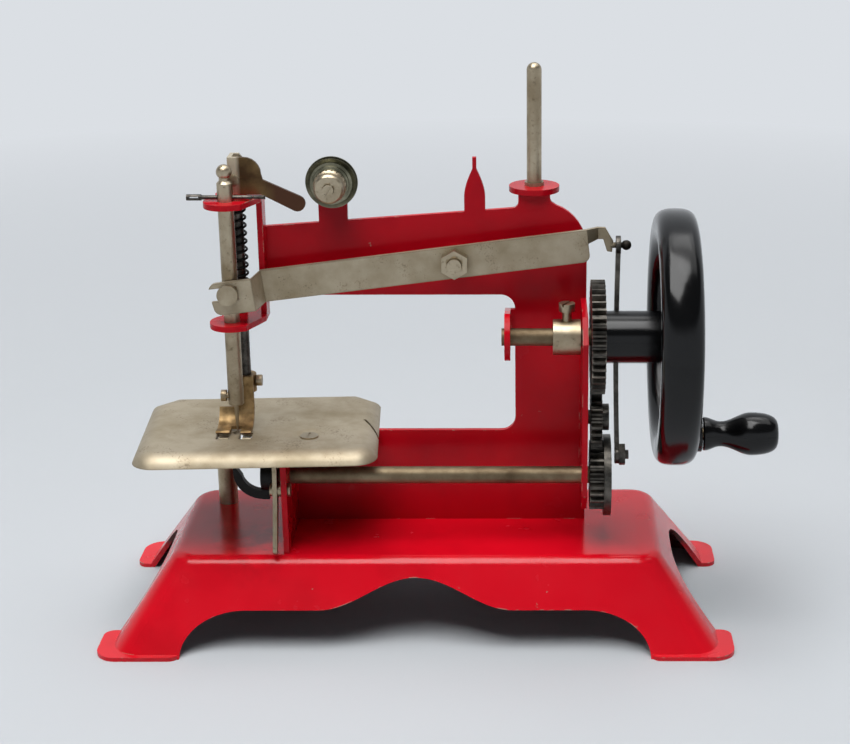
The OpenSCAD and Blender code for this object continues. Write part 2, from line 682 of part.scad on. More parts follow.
// Flat rod that leans back from the crank to the lever's ball, past the hub
module connecting_rod() placed() color(dark_steel) difference() {
    lean = atan2(tail_y - crank_y, ball_z - crank_z);
    eye_r = 2.6;
    length = norm([tail_y - crank_y, ball_z - crank_z]);
    union() {
        rod_along_x(rod_x, rod_x + rod_t, 2.6, crank_y, crank_z);
        rod_along_x(rod_x, rod_x + rod_t, eye_r, tail_y, ball_z);
        translate([rod_x, crank_y, crank_z]) rotate([-lean, 0, 0]) sheet_xz(-rod_w / 2, rod_w)
            polygon(concat([for (i = [0:12]) [-rod_bow * sin(15 * i), length * i / 12]],
                [for (i = [12:-1:0]) [rod_t - rod_bow * sin(15 * i), length * i / 12]]));
    }
    rod_along_x(rod_x - 1, rod_x + rod_t + 1, 1.3 + fix_gap, crank_y, crank_z);
    rod_along_x(rod_x - 1, rod_x + rod_t + 1, ball_neck_r + pass_gap + 0.1, tail_y, ball_z);
}

module rod_screw() placed() color(dark_steel) {
    rod_along_x(rod_x, rod_x + rod_t, 1.3, crank_y, crank_z);
    translate([rod_x + rod_t, crank_y, crank_z]) rotate([0, 90, 0]) cylinder(r = 3.2, h = 1.6, $fn = 6);
    rod_along_x(rod_x + rod_t + 1.6, rod_x + rod_t + 2.6, 1.3, crank_y, crank_z);
}

module needle_bar() placed() color(steel) difference() {
    translate([needle_x, needle_y, 0]) rotate_extrude() polygon(concat(
        [[0, needle_low], [needle_bar_r - 0.3, needle_low], [needle_bar_r, needle_low + 0.3],
        [needle_bar_r, needle_top - 0.5], [needle_bar_r - 0.5, needle_top], [1.45, needle_top + 0.2]],
        arc([0, needle_top + 2.5], 2.1, -46, 90, 10)));
    rod_along_z(needle_low - 1, needle_low + 6, needle_r + fix_gap, needle_x, needle_y);
    rod_along_x(needle_x - 4, needle_x, 0.9 + fix_gap, needle_y, needle_low + 2.6);
    rod_along_x(needle_x - 4, needle_x + 4, 2 * split_r + fix_gap, needle_y, split_z);
    rod_along_y(needle_y - 4, needle_y, stud_r - 0.4 + fix_gap, needle_x, stud_z);
}

module needle() placed() color(steel) translate([needle_x, needle_y, 0]) rotate_extrude()
    polygon([[0, needle_low - needle_l + 5.5], [needle_r * 0.6, needle_low - needle_l + 8],
        [needle_r, needle_low - 2], [needle_r, needle_low + 5.5], [0, needle_low + 5.5]]);

module needle_screw() placed() color(steel) {
    z = needle_low + 2.6;
    rod_along_x(needle_x - needle_bar_r - 0.4, needle_x - needle_r - 0.1, 0.9, needle_y, z);
    rod_along_x(needle_x - needle_bar_r - 1.9, needle_x - needle_bar_r - 0.4, 1.6, needle_y, z);
}

// Shouldered stud that the lever's fork drives
module lever_stud() placed() color(steel) {
    rod_along_y(needle_y - needle_bar_r - 0.1, needle_y - 0.3, stud_r - 0.4, needle_x, stud_z);
    rod_along_y(fork_y - pass_gap, needle_y - needle_bar_r - 0.1, stud_r, needle_x, stud_z);
    rod_along_y(fork_y - pass_gap - 1.6, fork_y - pass_gap, stud_head_r, needle_x, stud_z);
}

// Split pin through the top of the needle bar: a slit shank and an eye
// Split pin across the top of the needle bar: its eye to the left, its two legs spread to the right
module split_pin() placed() color(dark_steel) difference() {
    left = needle_x - 10.4;
    right = needle_x + 10.8;
    eye_l = 4;
    leg_l = 4;
    union() {
        rod_along_x(left, left + eye_l, 0.85, needle_y, split_z);
        rod_along_x(left + eye_l - 0.3, right - leg_l + 0.4, 2 * split_r, needle_y, split_z);
        for (s = [-1, 1])
            translate([right - leg_l, needle_y, split_z]) rotate([0, 90 + 4 * s, 6 * s])
                cylinder(r = 1.2 * split_r, h = leg_l);
    }
    block([left + 0.7, needle_y - 2, split_z - 0.3], [left + eye_l - 0.7, needle_y + 2, split_z + 0.3]);
}

module presser_bar() placed() color(steel) difference() {
    rod_along_z(presser_low, presser_top, presser_r, presser_x, presser_y);
    rod_along_y(presser_y - 4, presser_y + 4, lifter_rivet_r + fix_gap, presser_x, lifter_z);
    rod_along_x(presser_x, presser_x + 4, 0.9 + fix_gap, presser_y, presser_low + 3);
}

// Collar on the presser bar, under the spring
module presser_collar() placed() color(dark_steel) difference() {
    rod_along_z(spring_low - presser_collar_t, spring_low, spring_r + 0.8, presser_x, presser_y);
    rod_along_z(spring_low - presser_collar_t - 1, spring_low + 1, presser_r + fix_gap, presser_x, presser_y);
}

// The spring's centre line: straight ends one wire long, and a helix between them
spring_steps = spring_turns * 8;
spring_coil = spring_top - spring_low - 2 * spring_wire;
function spring_point(i) =
    let (k = min(max(i - 1, 0), spring_steps), a = k * 45,
        z = i == 0 ? spring_low : i == spring_steps + 2 ? spring_top :
            spring_low + spring_wire + spring_coil * k / spring_steps)
    [spring_r * cos(a), spring_r * sin(a), z];
function unit(v) = v / norm(v);
function spring_ring(i) =
    let (p = spring_point(i), out = unit([p[0], p[1], 0]), last = spring_steps + 2,
        along = unit(spring_point(min(i + 1, last)) - spring_point(max(i - 1, 0))),
        side = unit(cross(along, out)))
    [for (k = [0:5]) p + spring_wire / 2 * (cos(60 * k) * out + sin(60 * k) * side)];
spring_gap = min([for (i = [1:spring_steps - 5]) for (j = [i + 5:spring_steps + 1])
    norm(spring_point(i) - spring_point(j))]) - spring_wire;
echo(spring_self_gap = spring_gap);

module presser_spring() placed() color(dark_steel) translate([presser_x, presser_y, 0]) {
    rings = spring_steps + 3;
    points = [for (i = [0:rings - 1]) each spring_ring(i)];
    walls = [for (i = [0:rings - 2]) for (k = [0:5]) each [
        [6 * i + k, 6 * i + 6 + k, 6 * i + (k + 1) % 6],
        [6 * i + (k + 1) % 6, 6 * i + 6 + k, 6 * i + 6 + (k + 1) % 6]]];
    caps = [for (k = [1:4]) each [[0, k, k + 1], [6 * rings - 6, 6 * rings - 6 + k + 1, 6 * rings - 6 + k]]];
    polyhedron(points, concat(walls, caps));
}

module presser_foot() placed() color(steel) difference() {
    sole = cloth_z + 0.3;
    thick = 0.9;
    bend = 6.5;
    bend_y = -bend;
    toe = needle_y - 1.6;
    foot_x = slot_x - 0.3;
    union() {
        // sole and its upturned back, swept as one strip
        sheet_yz(foot_x - foot_plate_w / 2, foot_plate_w) polygon(concat(
            arc([bend_y, sole + bend], bend, -90, -12), arc([bend_y, sole + bend], bend - thick, -12, -90),
            [[toe, sole + thick], [toe - 0.9, sole + thick + 0.3], [toe - 1.3, sole + 0.7],
            [toe - 0.3, sole]]));
        // shank up to the sleeve on the presser bar
        sheet_yz(presser_x - 2.6, 5.2) polygon([[-thick - 0.3, sole + bend - 2], [-0.1, sole + bend - 2],
            [0, presser_low + 5], [-thick, presser_low + 5]]);
        rod_along_z(presser_low, presser_low + 5, presser_r + 1.4, presser_x, presser_y);
    }
    rod_along_z(presser_low - 1, presser_low + 6, presser_r + fix_gap, presser_x, presser_y);
    rod_along_x(presser_x, presser_x + 6, 0.9 + fix_gap, presser_y, presser_low + 3);
    block([needle_x - 1.9, toe - 3, sole - 1], [needle_x + 1.1, needle_y + 1.6, sole + 2.4]);
}

module foot_screw() placed() color(steel) {
    z = presser_low + 3;
    rod_along_x(presser_x + 0.4, presser_x + presser_r + 1.4, 0.9, presser_y, z);
    rod_along_x(presser_x + presser_r + 1.4, presser_x + presser_r + 3, 1.6, presser_y, z);
}

// Folded lifter: two cheeks on the presser bar, joined at the left, with a finger tab to the right
module presser_lifter() placed() color(dark_steel) difference() {
    front = presser_y - presser_r - 0.4 - lifter_t;
    back = presser_y + presser_r + 0.4;
    left = presser_x - 1.4;
    low = ear_z + pass_gap;
    top = ear_z + 10.6;
    tip = [presser_x + 17.2, ear_z - 2.2];
    union() {
        sheet_xz(front, lifter_t) union() {
            polygon(concat([[left, low], [arm_left + 0.1, low], tip - [0.9, 2]],
                arc(tip, 2.2, -114, 66, 8),
                [[presser_x + 8, ear_z + 4.4]], arc([presser_x + 3, top - 4.6], 4.6, 0, 90, 6),
                [[left, top]]));
        }
        sheet_xz(back, lifter_t) polygon([[left, low], [presser_x + 2.6, low], [presser_x + 2.6, top - 2],
            [presser_x + 1, top], [left, top]]);
        block([left, front, presser_top + 0.7], [left + lifter_t, back + lifter_t, top]);
    }
    rod_along_y(front - 1, back + lifter_t + 1, lifter_rivet_r + run_gap, presser_x, lifter_z);
}

module lifter_rivet() placed() color(steel) {
    front = presser_y - presser_r - 0.4 - lifter_t - run_gap;
    back = presser_y + presser_r + 0.4 + lifter_t + run_gap;
    rod_along_y(front, back, lifter_rivet_r, presser_x, lifter_z);
    rod_along_y(front - 0.6, front, 1.6, presser_x, lifter_z);
    rod_along_y(back, back + 0.6, 1.6, presser_x, lifter_z);
}

module main_shaft() placed() color(steel)
    rod_along_x(main_ear_x - 0.8, rim_x + rim_w - 1, shaft_r, shaft_y, main_z);

collar_x = frame_right - sheet_t - pass_gap - 7.6;
collar_r = 4.9;

module shaft_collar() placed() color(steel) difference() {
    rod_along_x(collar_x, collar_x + 7.6, collar_r, shaft_y, main_z);
    rod_along_x(collar_x - 1, collar_x + 9, shaft_r + fix_gap, shaft_y, main_z);
    rod_along_z(main_z, main_z + 9, 1.3 + fix_gap, collar_x + 3.8, shaft_y);
}

module collar_screw() placed() color(steel) difference() {
    x = collar_x + 3.8;
    head_z = main_z + collar_r + 2.6;
    union() {
        rod_along_z(main_z + shaft_r + 0.1, head_z, 1.3, x, shaft_y);
        rod_along_z(head_z, head_z + 2.2, 2.2, x, shaft_y);
    }
    translate([x, shaft_y, head_z + 2.2]) rotate([0, 0, 60]) cube([6, 0.6, 1.4], center = true);
}

// One tooth as half widths at root, pitch line and tip, turned to its angle
function tooth(m, n, a) =
    let (pitch = m * n / 2, flat = PI * m / 4 - gear_slack,
        radii = [pitch - 1.2 * m, pitch, pitch + 0.95 * m],
        halves = [flat + 0.42 * m, flat, flat - 0.36 * m],
        order = [[0, 1], [1, 1], [2, 1], [2, -1], [1, -1], [0, -1]])
    [for (o = order) let (r = radii[o[0]], t = a - o[1] * halves[o[0]] / r * 180 / PI) r * [cos(t), sin(t)]];

module gear(n, x, t, z, phase, bore) sheet_yz(x, t) translate([shaft_y, z]) difference() {
    polygon([for (i = [0:n - 1]) each tooth(gear_m, n, phase + 360 * i / n)]);
    circle(bore);
}

module main_gear() placed() color(dark_steel)
    gear(main_teeth, gear_x, gear_t, main_z, -90, shaft_r + fix_gap);

module idler_gear() placed() color(dark_steel)
    gear(idler_teeth, gear_x + 0.2, gear_t - 0.8, idler_z, 90 + 180 / idler_teeth, idler_stud_r + run_gap);

module lower_gear() placed() color(dark_steel)
    gear(lower_teeth, gear_x, gear_t, lower_z, 90, shaft_r + fix_gap);

module idler_stud() placed() color(dark_steel) {
    end = gear_x + gear_t - 0.4;
    rod_along_x(frame_right - sheet_t, end, idler_stud_r, shaft_y, idler_z);
    rod_along_x(end, end + 1.8, idler_head_r, shaft_y, idler_z);
}

module crank_disc() placed() color(dark_steel) {
    difference() {
        rod_along_x(disc_x, disc_x + disc_t, disc_r, shaft_y, lower_z);
        rod_along_x(disc_x - 1, disc_x + disc_t + 1, shaft_r + fix_gap, shaft_y, lower_z);
    }
    rod_along_x(disc_x + disc_t, crank_boss_x, 2.2, crank_y, crank_z);
}

module looper_shaft() placed() color(steel)
    rod_along_x(bracket_x - 6.4, disc_x + disc_t - 0.2, shaft_r, shaft_y, lower_z);

// Looper: a boss on the shaft's end, an arm and a hook that sweeps out along the shaft and turns up
module looper() placed() color(dark_steel) difference() {
    hub_end = feed_x - 0.8;
    hub_start = bracket_x - 6.4;
    low_z = lower_z - looper_r + 0.3;
    hook_w = hub_start - looper_x;
    hook_h = lower_z + 1 - low_z;
    union() {
        rod_along_x(hub_start, hub_end, shaft_r + 1.9, shaft_y, lower_z);
        block([hub_start, shaft_y - 1.2, low_z], [hub_start + 2, shaft_y + 1.2, lower_z]);
        translate([hub_start + 0.4, 0, lower_z + 1]) sheet_xz(shaft_y - 1.1, 2.2)
            polygon(concat([for (i = [0:10]) [-(hook_w + 0.4) * cos(9 * i), -hook_h * sin(9 * i)]],
                [for (i = [10:-1:1]) [-(hook_w - 2) * cos(9 * i), -(hook_h - 2.6) * sin(9 * i)]],
                [[-hook_w + 0.6, 1.2], [-hook_w - 0.3, 1.8]]));
    }
    rod_along_x(hub_start - 1, hub_end + 1, shaft_r + fix_gap, shaft_y, lower_z);
}

// Flat feed lever on the looper bracket, its finger reaching down and forward to the base's edge
module feed_lever() placed() color(steel) difference() {
    top = feed_dog_z + 1;
    tip_y = feed_y - 5.4;
    tip_z = base_h + 2.6;
    tip_r = 1.4;
    union() {
        sheet_yz(feed_x, feed_t) polygon([[feed_y - 0.6, top], [feed_y - 1.9, feed_z + 2],
            [feed_y - 2.5, feed_z - 3], [tip_y - tip_r, tip_z], [tip_y + tip_r, tip_z],
            [feed_y + 0.6, feed_z - 4.5], [feed_y + 2, feed_z - 1], [feed_y + 2.2, feed_z + 2],
            [feed_y + 3.4, top]]);
        rod_along_x(feed_x, feed_x + feed_t, tip_r, tip_y, tip_z);
    }
    rod_along_x(feed_x - 1, feed_x + feed_t + 1, 1.2 + run_gap, feed_y, feed_z);
}

module feed_dog() placed() color(steel) {
    reach = slot_x - slot_off - 1.2;
    block([reach, feed_y - 0.6, feed_dog_z], [feed_x, feed_y + 3.4, feed_dog_z + 1]);
    for (s = [-1, 1]) {
        x = slot_x + s * slot_off;
        block([x - 1.2, feed_y + 3, feed_dog_z], [x + 1.2, slot_y + 2, feed_dog_z + 1]);
        for (i = [0:2])
            translate([x - 1.2, slot_y - 1.4 + i * 0.95, feed_dog_z + 0.9]) rotate([90, 0, 90])
                linear_extrude(2.4) polygon([[0, 0], [0.9, 0], [0.9, 1.3]]);
    }
}

module feed_rivet() placed() color(steel) {
    rod_along_x(feed_x - 0.9, bracket_x + sheet_t, 1.2, feed_y, feed_z);
    rod_along_x(feed_x - 0.9, feed_x - run_gap, 1.8, feed_y, feed_z);
    rod_along_x(feed_x + feed_t + run_gap, bracket_x, 1.9, feed_y, feed_z);
    rod_along_x(bracket_x + sheet_t, bracket_x + sheet_t + 0.8, 1.8, feed_y, feed_z);
}

// Section of the rim: a soft-cornered oval
function rim_section() = [for (i = [0:31]) [wheel_r - rim_d / 2 * (1 - bulge(cos(11.25 * i))),
    rim_w / 2 * (1 + bulge(sin(11.25 * i)))]];

module hand_wheel() placed() color(black) difference() {
    union() {
        translate([rim_x, shaft_y, main_z]) rotate([0, 90, 0]) rotate_extrude($fn = 96) {
            polygon(rim_section());
            translate([hub_r - 1, rim_w - web_t - 1]) square([wheel_r - rim_d - hub_r + 2, web_t]);
        }
        rod_along_x(hub_x, wheel_end - 0.4, hub_r, shaft_y, main_z);
        rod_along_x(wheel_end - web_t - 1, wheel_end + handle_boss_t, handle_boss_r, shaft_y, handle_z);
    }
    rod_along_x(hub_x - 1, wheel_end - 1 + fix_gap, shaft_r + fix_gap, shaft_y, main_z);
    rod_along_x(wheel_end - web_t - 2, handle_x, crank_pin_r + fix_gap, shaft_y, handle_z);
}

crank_pin_end = handle_x + handle_l - 4;
handle_base_r = 4.7;
handle_waist_x = 5;
handle_full_x = 13.6;

module crank_pin() placed() color(steel) {
    rod_along_x(wheel_end - web_t - 1, crank_pin_end - 1.4, crank_pin_r, shaft_y, handle_z);
    rod_along_x(crank_pin_end - 1.4, crank_pin_end, crank_pin_r + 1, shaft_y, handle_z);
}

// Half outline of the handle: a flared foot, a waist, a full belly and a round end
function ease(a, b, u) = a + (b - a) * (1 - cos(180 * u)) / 2;
function handle_outline() = concat([[0, 0], [handle_base_r - 0.3, 0]],
    [for (i = [0:8]) [ease(handle_base_r, handle_waist_r, i / 8), 0.4 + (handle_waist_x - 0.4) * i / 8]],
    [for (i = [1:10]) [ease(handle_waist_r, handle_r, i / 10),
        handle_waist_x + (handle_full_x - handle_waist_x) * i / 10]],
    [for (i = [1:9]) [handle_r * pow(cos(9.6 * i), 0.45),
        handle_full_x + (handle_l - handle_full_x) * sin(10 * i)]],
    [[0, handle_l]]);

// Pear-shaped handle, bored for its pin, its end closed over the pin's head
module crank_handle() placed() color(black) translate([handle_x, shaft_y, handle_z]) rotate([0, 90, 0])
    rotate_extrude() difference() {
        polygon(handle_outline());
        translate([-1, -1]) square([1 + crank_pin_r + run_gap, crank_pin_end - handle_x + 1]);
        translate([-1, crank_pin_end - handle_x - 1.4 - pass_gap])
            square([2 + crank_pin_r + pass_gap, 1.4 + 2 * pass_gap]);
    }

base();
frame();
frame_screws();
spool_pin();
tension_stud();
tension_discs();
tension_nut();
cloth_plate();
plate_screw();
plate_post();
lever_bolt();
lever_nut();
needle_lever();
connecting_rod();
rod_screw();
needle_bar();
needle();
needle_screw();
lever_stud();
split_pin();
presser_bar();
presser_collar();
presser_spring();
presser_foot();
foot_screw();
presser_lifter();
lifter_rivet();
main_shaft();
shaft_collar();
collar_screw();
main_gear();
hand_wheel();
crank_pin();
crank_handle();
idler_gear();
idler_stud();
lower_gear();
crank_disc();
looper_shaft();
looper();
feed_lever();
feed_dog();
feed_rivet();
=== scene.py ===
import math

import bmesh
import bpy
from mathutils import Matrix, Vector


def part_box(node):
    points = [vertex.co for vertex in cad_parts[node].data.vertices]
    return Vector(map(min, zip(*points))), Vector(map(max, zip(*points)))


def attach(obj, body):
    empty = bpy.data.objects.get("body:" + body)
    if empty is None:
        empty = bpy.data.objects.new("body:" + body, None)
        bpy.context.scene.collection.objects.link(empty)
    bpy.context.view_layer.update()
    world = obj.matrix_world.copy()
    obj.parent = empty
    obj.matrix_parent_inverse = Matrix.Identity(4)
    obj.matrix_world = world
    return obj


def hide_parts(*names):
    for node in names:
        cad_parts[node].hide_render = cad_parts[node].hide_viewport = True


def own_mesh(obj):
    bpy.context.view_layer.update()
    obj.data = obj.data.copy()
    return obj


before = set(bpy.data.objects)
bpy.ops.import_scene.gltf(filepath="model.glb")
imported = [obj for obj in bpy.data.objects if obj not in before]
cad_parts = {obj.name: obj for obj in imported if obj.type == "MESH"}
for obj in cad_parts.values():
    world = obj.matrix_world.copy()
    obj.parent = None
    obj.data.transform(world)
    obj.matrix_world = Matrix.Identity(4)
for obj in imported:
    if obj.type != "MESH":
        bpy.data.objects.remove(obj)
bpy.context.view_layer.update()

# Studio: a pale grey paper sweep under and behind the machine, with a large soft lamp overhead
# in front, a weaker one overhead at the right and one on the sweep, in a dim pale surround.
# Sweep, lamps and reaches are in metres.
MM = 0.001
SWEEP_GREY = "#c2c6ca"
FAR_PAPER = "#dbdfe4"
SURROUND = "#dde2e8"
LIT_REACH = 0.25
PALE_REACH = 0.75
SWEEP_FRONT = -3.0
SWEEP_BEND = 0.9
SWEEP_TOP = 4.0
SWEEP_HALF_WIDTH = 4.0
SURROUND_LIGHT = 0.15
SURROUND_SEEN = 0.95


def linear(hex_colour):
    """Linear RGBA of an sRGB hex colour."""
    parts = [int(hex_colour[i:i + 2], 16) / 255 for i in (1, 3, 5)]
    return [p / 12.92 if p <= 0.04045 else ((p + 0.055) / 1.055) ** 2.4 for p in parts] + [1.0]


def add(tree, kind, inputs=None, **settings):
    """One node with its settings; an input given as a socket is linked, any other value is set."""
    node = tree.nodes.new(kind)
    for name, value in settings.items():
        setattr(node, name, value)
    for key, value in (inputs or {}).items():
        if isinstance(value, bpy.types.NodeSocket):
            tree.links.new(value, node.inputs[key])
        else:
            node.inputs[key].default_value = value
    return node


def new_material(name):
    """An empty node material and its output node."""
    material = bpy.data.materials.new(name)
    material.use_nodes = True
    material.node_tree.nodes.clear()
    return material, add(material.node_tree, "ShaderNodeOutputMaterial")


def seen(tree):
    """A socket that is 1 for what the eye, a mirror or glass sees, and 0 for light on the object."""
    path = add(tree, "ShaderNodeLightPath").outputs
    mirrored = add(tree, "ShaderNodeMath", {0: path["Is Camera Ray"], 1: path["Is Glossy Ray"]},
                   operation="MAXIMUM")
    return add(tree, "ShaderNodeMath", {0: mirrored.outputs[0], 1: path["Is Transmission Ray"]},
               operation="MAXIMUM").outputs[0]


# matt paper; out of the lamps' reach it is seen as plain pale grey and lights nothing
paper, paper_out = new_material("matt_paper_sweep")
tree = paper.node_tree
paper_shader = add(tree, "ShaderNodeBsdfPrincipled", {
    "Base Color": linear(SWEEP_GREY), "Roughness": 0.9})
paper_glow = add(tree, "ShaderNodeEmission", {"Color": linear(FAR_PAPER)})
paper_place = add(tree, "ShaderNodeNewGeometry").outputs["Position"]
reach = add(tree, "ShaderNodeVectorMath", {0: paper_place}, operation="LENGTH")
far_off = add(tree, "ShaderNodeMapRange", {
    "Value": reach.outputs["Value"], "From Min": LIT_REACH, "From Max": PALE_REACH})
far_seen = add(tree, "ShaderNodeMath", {0: far_off.outputs[0], 1: seen(tree)}, operation="MULTIPLY")
paper_mix = add(tree, "ShaderNodeMixShader", {
    0: far_seen.outputs[0], 1: paper_shader.outputs[0], 2: paper_glow.outputs[0]})
tree.links.new(paper_mix.outputs[0], paper_out.inputs["Surface"])

sweep_mesh = bpy.data.meshes.new("paper_sweep")
sweep_bm = bmesh.new()
profile = [(SWEEP_FRONT, 0.0), (SWEEP_BEND, 0.0)]
for degrees in range(6, 91, 6):
    bend = math.radians(degrees)
    profile.append((SWEEP_BEND + SWEEP_BEND * math.sin(bend), SWEEP_BEND - SWEEP_BEND * math.cos(bend)))
profile.append((2 * SWEEP_BEND, SWEEP_TOP))
rails = [[sweep_bm.verts.new((x, y, z)) for y, z in profile]
         for x in (-SWEEP_HALF_WIDTH, SWEEP_HALF_WIDTH)]
for i in range(len(profile) - 1):
    face = sweep_bm.faces.new((rails[0][i], rails[1][i], rails[1][i + 1], rails[0][i + 1]))
    face.smooth = True
sweep_bm.to_mesh(sweep_mesh)
sweep_bm.free()
sweep_mesh.materials.append(paper)
sweep = bpy.data.objects.new("paper_sweep", sweep_mesh)
bpy.context.scene.collection.objects.link(sweep)

world = bpy.data.worlds.new("pale_surround")
world.use_nodes = True
# dim as a light, and pale to the eye up to about 25 degrees over the floor
world_tree = world.node_tree
world_tree.nodes["Background"].inputs["Color"].default_value = linear(SURROUND)
direction = add(world_tree, "ShaderNodeSeparateXYZ", {
    "Vector": add(world_tree, "ShaderNodeTexCoord").outputs["Generated"]})
near_floor = add(world_tree, "ShaderNodeMapRange", {
    "Value": direction.outputs["Z"], "From Min": 0.45, "From Max": 0.3})
pale_seen = add(world_tree, "ShaderNodeMath", {0: near_floor.outputs[0], 1: seen(world_tree)},
                operation="MULTIPLY")
world_level = add(world_tree, "ShaderNodeMapRange", {
    "Value": pale_seen.outputs[0], "To Min": SURROUND_LIGHT, "To Max": SURROUND_SEEN})
world_tree.links.new(world_level.outputs[0], world_tree.nodes["Background"].inputs["Strength"])
bpy.context.scene.world = world

# each lamp's name, place, aim, side and watts
LAMPS = (("front_softbox", (-0.15, -0.3, 1.1), (0.0, 0.0, 0.06), 0.8, 13.0),
         ("top_softbox", (0.35, 0.15, 1.1), (0.0, 0.0, 0.06), 0.8, 3.0),
         ("sweep_softbox", (0.0, 0.7, 1.7), (0.0, 1.8, 0.5), 1.2, 9.0))
for lamp_name, lamp_place, lamp_aim, lamp_size, lamp_watts in LAMPS:
    lamp = bpy.data.lights.new(lamp_name, "AREA")
    lamp.size = lamp_size
    lamp.energy = lamp_watts
    lamp_object = bpy.data.objects.new(lamp_name, lamp)
    lamp_object.location = lamp_place
    lamp_beam = Vector(lamp_aim) - Vector(lamp_place)
    lamp_object.rotation_euler = lamp_beam.to_track_quat("-Z", "Y").to_euler()
    bpy.context.scene.collection.objects.link(lamp_object)

# the camera solved from the photo, in its pixels, and its place in millimetres
PHOTO_WIDTH = 850
FOCAL_PIXELS = 1853
CENTRE_PIXEL = 528.6
SENSOR_WIDTH = 36.0
CAMERA_PLACE = (25.475, -492.2, 238.7)
CAMERA_DIP = 18.69
CAMERA_ROLL = 0.07
scene = bpy.context.scene
scene.view_settings.view_transform = "Standard"
camera_data = bpy.data.cameras.new("photo_camera")
camera_data.sensor_width = SENSOR_WIDTH
camera_data.lens = SENSOR_WIDTH * FOCAL_PIXELS / PHOTO_WIDTH
camera_data.shift_x = (PHOTO_WIDTH / 2 - CENTRE_PIXEL) / PHOTO_WIDTH
camera_data.clip_end = 20.0
camera = bpy.data.objects.new("photo_camera", camera_data)
camera.location = [c * MM for c in CAMERA_PLACE]
camera.rotation_euler = (math.radians(90 - CAMERA_DIP), math.radians(CAMERA_ROLL), 0.0)
scene.collection.objects.link(camera)
scene.camera = camera

# Base: one pressing of thin sheet steel with four feet turned out flat and an ogee cut in each
# long skirt, dipped in bright red stoving enamel that has chipped and rubbed along its edges.
ENAMEL_RED = "#de0a20"
ENAMEL_DEEP = "#c9081b"
BARE_CHIP = "#a58a7c"
OIL_STAIN = "#4a070c"
# painted shade for faces that point down
UNDERSIDE_PAINTED_SHADE = "#32100f"
JOIN_WITHIN = 0.002
BROKEN_FROM = 40
CREASED_FROM = 36


def dress(name, material, edge_mm=0.0, steps=2):
    """Gives a CAD node its finish, smooth curved faces, a small broken edge and true flats."""
    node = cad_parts[name]
    node.data.materials.clear()
    node.data.materials.append(material)
    node.data.polygons.foreach_set("use_smooth", [True] * len(node.data.polygons))
    joined = node.modifiers.new("joined_faces", "WELD")
    joined.merge_threshold = JOIN_WITHIN * MM
    if edge_mm:
        bevel = node.modifiers.new("broken_edge", "BEVEL")
        bevel.width = edge_mm * MM
        bevel.segments = steps
        bevel.limit_method = "ANGLE"
        bevel.angle_limit = math.radians(BROKEN_FROM)
    creased = node.modifiers.new("creased_edges", "EDGE_SPLIT")
    creased.split_angle = math.radians(CREASED_FROM)
    level = node.modifiers.new("level_faces", "WEIGHTED_NORMAL")
    level.keep_sharp = True


enamel, enamel_out = new_material("red_stoving_enamel")
tree = enamel.node_tree
place = add(tree, "ShaderNodeTexCoord").outputs["Object"]
# dip-coat colour drifts over about 30 mm; chips are about 1 mm across and rare; sheared and
# folded edges have rubbed through in short runs about 6 mm long
drift = add(tree, "ShaderNodeTexNoise", {"Vector": place, "Scale": 1 / (30 * MM), "Detail": 3.0})
drift_ramp = add(tree, "ShaderNodeValToRGB", {"Fac": drift.outputs["Fac"]})
drift_ramp.color_ramp.elements[0].color = linear(ENAMEL_DEEP)
drift_ramp.color_ramp.elements[0].position = 0.3
drift_ramp.color_ramp.elements[1].color = linear(ENAMEL_RED)
drift_ramp.color_ramp.elements[1].position = 0.5
chips = add(tree, "ShaderNodeTexNoise", {"Vector": place, "Scale": 1 / (2.2 * MM), "Detail": 4.0})
chip_patch = add(tree, "ShaderNodeTexNoise", {"Vector": place, "Scale": 1 / (22 * MM), "Detail": 2.0})
chip_sum = add(tree, "ShaderNodeMath", {0: chips.outputs["Fac"], 1: chip_patch.outputs["Fac"]},
               operation="ADD")
chip_mask = add(tree, "ShaderNodeMapRange", {
    "Value": chip_sum.outputs[0], "From Min": 1.33, "From Max": 1.37, "To Max": 0.8})
edge_normal = add(tree, "ShaderNodeBevel", {"Radius": 0.5 * MM}, samples=6)
face_normal = add(tree, "ShaderNodeNewGeometry").outputs["Normal"]
edge_turn = add(tree, "ShaderNodeVectorMath", {0: edge_normal.outputs[0], 1: face_normal},
                operation="DOT_PRODUCT")
edge_mask = add(tree, "ShaderNodeMapRange", {
    "Value": edge_turn.outputs["Value"], "From Min": 0.97, "From Max": 0.88})
edge_runs = add(tree, "ShaderNodeTexNoise", {
    "Vector": place, "Scale": 1 / (6 * MM), "Detail": 4.0, "Roughness": 0.6})
edge_run_mask = add(tree, "ShaderNodeMapRange", {
    "Value": edge_runs.outputs["Fac"], "From Min": 0.56, "From Max": 0.62})
edge_wear = add(tree, "ShaderNodeMath", {0: edge_mask.outputs[0], 1: edge_run_mask.outputs[0]},
                operation="MULTIPLY")
bare = add(tree, "ShaderNodeMath", {0: chip_mask.outputs[0], 1: edge_wear.outputs[0]},
           operation="MAXIMUM")
